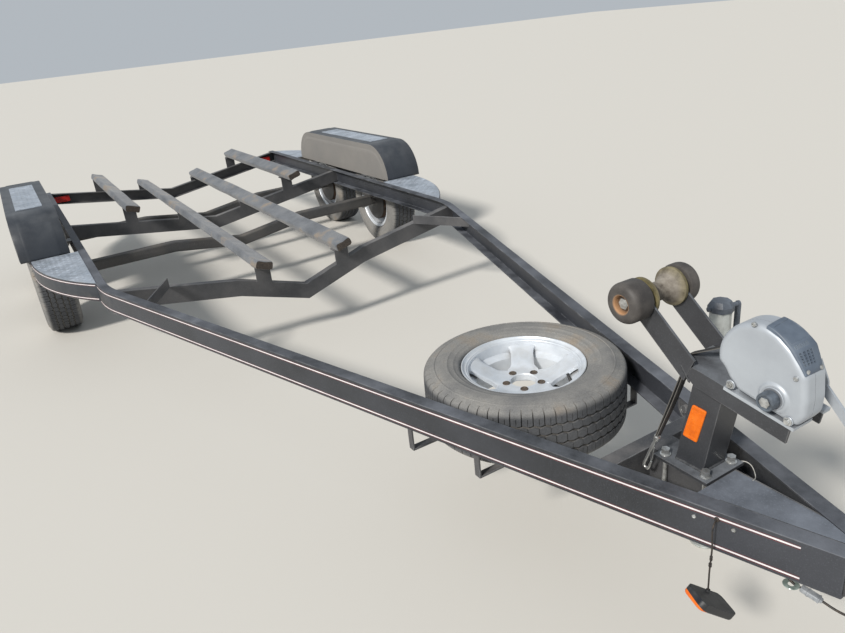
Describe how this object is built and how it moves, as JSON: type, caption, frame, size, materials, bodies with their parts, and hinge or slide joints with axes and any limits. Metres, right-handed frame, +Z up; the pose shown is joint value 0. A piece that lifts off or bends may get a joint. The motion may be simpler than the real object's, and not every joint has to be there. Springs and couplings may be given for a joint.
{
  "type": "boat trailer",
  "caption": "Tandem axle bunk trailer for a small boat, with channel rails, carpeted bunks, fenders with steps, winch stand, flat spare wheel and swivel jack.",
  "frame": {"origin": "on the ground under the middle of the trailer's outline", "axes": "+X forward to the coupler, +Y to the trailer's left, +Z up"},
  "size_m": [6.29, 2.57, 0.9611],
  "materials": {
    "frame_paint": "textured satin",
    "fender_paint": "dusty satin",
    "axle_paint": "dusty satin",
    "drum_iron": "rough",
    "tyre": "dusty",
    "alloy": "silver painted",
    "tread_plate": "patterned",
    "carpet": "weathered pile",
    "zinc": "zinc plated",
    "roller_urethane": "worn",
    "black_rubber": "matte",
    "winch_paint": "satin silver",
    "webbing": "woven",
    "jack_paint": "zinc plated",
    "black_plastic": "matte",
    "amber_lens": "gloss",
    "red_lens": "gloss"
  },
  "bodies": {
    "chassis": {"axle_front": "axle_paint", "axle_rear": "axle_paint", "bunk_inner_left": "carpet", "bunk_inner_right": "carpet", "bunk_outer_left": "carpet", "bunk_outer_right": "carpet", "coupler": "frame_paint", "cross_front": "frame_paint", "cross_mid": "frame_paint", "cross_rear": "frame_paint", "fender_left": "fender_paint", "fender_right": "fender_paint", "jack_bracket": "frame_paint", "marker_left": "amber_lens", "marker_right": "amber_lens", "marker_wire": "black_rubber", "rail_left": "frame_paint", "rail_right": "frame_paint", "roller_pin": "zinc", "snap_hook": "zinc", "spare_cradle": "frame_paint", "spare_tyre": "tyre", "spare_wheel": "alloy", "stand_head": "frame_paint", "stand_post": "frame_paint", "stand_studs": "zinc", "step_front_left": "frame_paint", "step_front_right": "frame_paint", "step_rear_left": "frame_paint", "step_rear_right": "frame_paint", "tail_lamps": "red_lens", "tongue_cross": "frame_paint", "tongue_tube": "frame_paint", "treads_left": "tread_plate", "treads_right": "tread_plate", "winch": "winch_paint", "winch_strap": "webbing", "wire_grommet": "black_rubber"},
    "running_front_left": {"tyre_front_left": "tyre", "wheel_front_left": "alloy", "hub_front_left": "drum_iron"},
    "running_front_right": {"tyre_front_right": "tyre", "wheel_front_right": "alloy", "hub_front_right": "drum_iron"},
    "running_rear_left": {"tyre_rear_left": "tyre", "wheel_rear_left": "alloy", "hub_rear_left": "drum_iron"},
    "running_rear_right": {"tyre_rear_right": "tyre", "wheel_rear_right": "alloy", "hub_rear_right": "drum_iron"},
    "roller": {"bow_roller": "roller_urethane", "roller_bells": "black_rubber"},
    "jack": {"jack_tube": "jack_paint", "jack_cap": "black_plastic"},
    "jack_stem": {"jack_leg": "jack_paint"}
  },
  "joints": [
    {"name": "spin_front_left", "type": "hinge", "parent": "chassis", "child": "running_front_left", "pos_m": [-1.278, 1.155, 0.315], "axis": [0, 1, 0], "continuous": true},
    {"name": "spin_front_right", "type": "hinge", "parent": "chassis", "child": "running_front_right", "pos_m": [-1.278, -1.155, 0.315], "axis": [0, 1, 0], "continuous": true},
    {"name": "spin_rear_left", "type": "hinge", "parent": "chassis", "child": "running_rear_left", "pos_m": [-2.158, 1.155, 0.315], "axis": [0, 1, 0], "continuous": true},
    {"name": "spin_rear_right", "type": "hinge", "parent": "chassis", "child": "running_rear_right", "pos_m": [-2.158, -1.155, 0.315], "axis": [0, 1, 0], "continuous": true},
    {"name": "roller_spin", "type": "hinge", "parent": "chassis", "child": "roller", "pos_m": [2.33687, 0, 0.91209], "axis": [0, 1, 0], "continuous": true},
    {"name": "jack_swing", "type": "hinge", "parent": "chassis", "child": "jack", "pos_m": [2.26, 0.23761, 0.469], "axis": [0.3039, 0.9527, 0], "range_deg": [0, 90]},
    {"name": "jack_lift", "type": "slide", "parent": "jack", "child": "jack_stem", "axis": [0, 0, 1], "range_m": [0, 0.2]}
  ]
}
